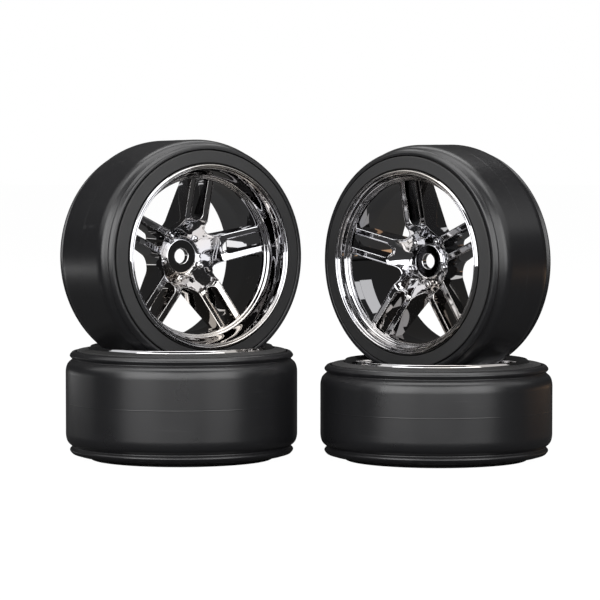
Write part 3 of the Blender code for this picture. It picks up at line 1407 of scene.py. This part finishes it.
@dataclass
class Wheel:
    """One whole wheel.

    Args:
        size: its sizes.
        station: which wheel it is.
        groups: the shared effects for its materials.
    """

    size: WheelSize
    station: Station
    groups: Groups
    seat: Seat = field(init=False)

    def __post_init__(self) -> None:
        """Find the wheel's place."""
        self.seat = Seat.from_frame(self.station)

    def build(self) -> None:
        """Build and dress every piece."""
        chrome = BLACK_CHROME.build(self.seat, self.groups)
        ring_finish = HARD_RING.build(self.seat, self.groups)
        rubber = SIDEWALL_RUBBER.build(self.seat, self.groups)
        foam = INSERT_FOAM.build(self.seat, self.groups)
        order: list[tuple[Part, Finish, bpy.types.Material, tuple[str, ...]]] = [
            (DriftRing(self.size, self.seat), HARD_RING, ring_finish, ("drift_ring",)),
            (Tyre(self.size, self.seat), SIDEWALL_RUBBER, rubber, ("tyre",)),
            (Insert(self.size, self.seat), INSERT_FOAM, foam, ("foam_insert",)),
            (Barrel(self.size, self.seat), BLACK_CHROME, chrome, ("rim_barrel",)),
            (Spider(self.size, self.seat), BLACK_CHROME, chrome, ("spokes",)),
            (Hub(self.size, self.seat), BLACK_CHROME, chrome, ("hub",)),
            (LugNuts(self.size, self.seat), BLACK_CHROME, chrome, ()),
        ]
        for part, finish, material, replaced in order:
            part.dress(part.build(), finish, material, replaced)


# ---------------------------------------------------------------------------------------------------------
# Studio
# ---------------------------------------------------------------------------------------------------------


@dataclass(frozen=True)
class Panel:
    """A soft light panel that faces the wheels.

    Args:
        name: its name.
        azimuth: degrees to the right of the camera, seen from the wheels.
        elevation: degrees above the floor.
        distance: distance from the wheels.
        width: its width.
        height: its height.
        radiance: how bright its surface is.
        colour: its colour.
    """

    name: str
    azimuth: float
    elevation: float
    distance: float
    width: float
    height: float
    radiance: float
    colour: tuple[float, float, float] = (1.0, 1.0, 1.0)

    def build(self, target: Vector) -> None:
        """Make the panel, turned to a target.

        Args:
            target: the point that it faces.
        """
        light = bpy.data.lights.new(self.name, "AREA")
        light.shape = "RECTANGLE"
        light.size = self.width
        light.size_y = self.height
        light.energy = self.radiance * math.pi * self.width * self.height
        light.color = self.colour
        lamp = bpy.data.objects.new(self.name, light)
        bpy.context.scene.collection.objects.link(lamp)
        swing = math.radians(self.azimuth)
        lift = math.radians(self.elevation)
        away = Vector((math.sin(swing) * math.cos(lift), -math.cos(swing) * math.cos(lift), math.sin(lift)))
        lamp.location = target + away * self.distance
        lamp.rotation_euler = (-away).to_track_quat("-Z", "Y").to_euler()
        lamp.visible_camera = False


PANELS = (
    Panel("front_left", -39.0, 13.0, 0.95, 0.66, 0.85, 4.6),
    Panel("front_middle", 0.0, 15.0, 1.15, 0.78, 0.85, 3.3),
    Panel("front_right", 39.0, 13.0, 0.95, 0.62, 0.85, 4.0),
    Panel("side_left", -82.0, 38.0, 0.90, 0.75, 0.62, 1.3),
    Panel("side_right", 82.0, 38.0, 0.90, 0.75, 0.62, 1.0),
    Panel("overhead", 0.0, 80.0, 0.80, 1.00, 0.50, 3.6),
    Panel("back", 180.0, 58.0, 1.00, 0.90, 0.34, 3.2),
    Panel("left_glow", -114.0, -5.2, 0.37, 0.30, 0.020, 1.6),
    Panel("right_glow", 116.0, -5.2, 0.37, 0.30, 0.016, 0.9, (1.0, 0.62, 0.36)),
)


@dataclass
class Studio:
    """Plain pale floor, soft panels and the camera.

    Args:
        bounds: lowest and highest corners of the set.
    """

    bounds: tuple[Vector, Vector]
    camera_distance: float = 0.9596
    camera_height: float = 0.0962
    camera_shift: float = -0.0021
    look_down: float = 3.053
    lens: float = 203.9
    floor_size: float = 8.0

    def build_floor(self) -> None:
        """Lay the floor, bright to the eye and a quieter grey in reflections."""
        mesh = bpy.data.meshes.new("floor")
        shape = bmesh.new()
        bmesh.ops.create_grid(shape, x_segments=1, y_segments=1, size=self.floor_size / 2)
        bmesh.ops.translate(shape, verts=shape.verts, vec=(0.0, 0.0, self.bounds[0].z))
        shape.to_mesh(mesh)
        shape.free()
        floor = bpy.data.objects.new("floor", mesh)
        bpy.context.scene.collection.objects.link(floor)
        material = bpy.data.materials.new("pale_floor")
        material.use_nodes = True
        tree = material.node_tree
        tree.nodes.clear()
        nodes = Nodes(tree)
        seen = nodes.add("ShaderNodeAddShader")
        lit = nodes.add("ShaderNodeBsdfDiffuse", {"Color": (0.04, 0.04, 0.04, 1.0)})
        glow = nodes.add("ShaderNodeEmission", {"Color": (1.0, 1.0, 1.0, 1.0), "Strength": 0.99})
        tree.links.new(lit.outputs[0], seen.inputs[0])
        tree.links.new(glow.outputs[0], seen.inputs[1])
        quiet = nodes.add("ShaderNodeBsdfDiffuse", {"Color": (0.045, 0.045, 0.045, 1.0)})
        path = nodes.add("ShaderNodeLightPath")
        choice = nodes.add("ShaderNodeMixShader", {0: path.outputs["Is Camera Ray"]})
        tree.links.new(quiet.outputs[0], choice.inputs[1])
        tree.links.new(seen.outputs[0], choice.inputs[2])
        output = nodes.add("ShaderNodeOutputMaterial")
        tree.links.new(choice.outputs[0], output.inputs["Surface"])
        mesh.materials.append(material)

    def build_world(self) -> None:
        """Make the surroundings, white to the eye and dim in reflections."""
        world = bpy.data.worlds.new("studio")
        bpy.context.scene.world = world
        world.use_nodes = True
        tree = world.node_tree
        tree.nodes.clear()
        nodes = Nodes(tree)
        path = nodes.add("ShaderNodeLightPath")
        strength = nodes.remap(path.outputs["Is Camera Ray"], (0.0, 1.0), (0.03, 1.0))
        background = nodes.add("ShaderNodeBackground", {"Color": (1.0, 1.0, 1.0, 1.0), "Strength": strength})
        output = nodes.add("ShaderNodeOutputWorld")
        tree.links.new(background.outputs[0], output.inputs["Surface"])

    def build_camera(self) -> None:
        """Set up the camera in front of the set, a little above it."""
        data = bpy.data.cameras.new("camera")
        data.lens = self.lens
        data.sensor_width = 36.0
        camera = bpy.data.objects.new("camera", data)
        bpy.context.scene.collection.objects.link(camera)
        camera.location = (self.camera_shift, -self.camera_distance, self.bounds[0].z + self.camera_height)
        camera.rotation_euler = (math.radians(90.0 - self.look_down), 0.0, 0.0)
        data.clip_start = 0.05
        data.clip_end = 20.0
        bpy.context.scene.camera = camera

    def build(self) -> None:
        """Build the whole studio."""
        low, high = self.bounds
        target = (low + high) / 2
        self.build_floor()
        self.build_world()
        for panel in PANELS:
            panel.build(target)
        self.build_camera()
        view = bpy.context.scene.view_settings
        view.view_transform = "Standard"
        view.look = "None"
        view.exposure = 0.0
        view.gamma = 1.0


def main() -> None:
    """Build the four wheels and the studio."""
    groups = Groups.make()
    Studio(cad_bounds).build()
    sizes = {Station.REAR_LOWER: REAR, Station.REAR_UPPER: REAR}
    sizes |= {Station.FRONT_LOWER: FRONT, Station.FRONT_UPPER: FRONT}
    for station, size in sizes.items():
        Wheel(size, station, groups).build()
    bpy.context.view_layer.update()


if __name__ == "__main__":
    main()
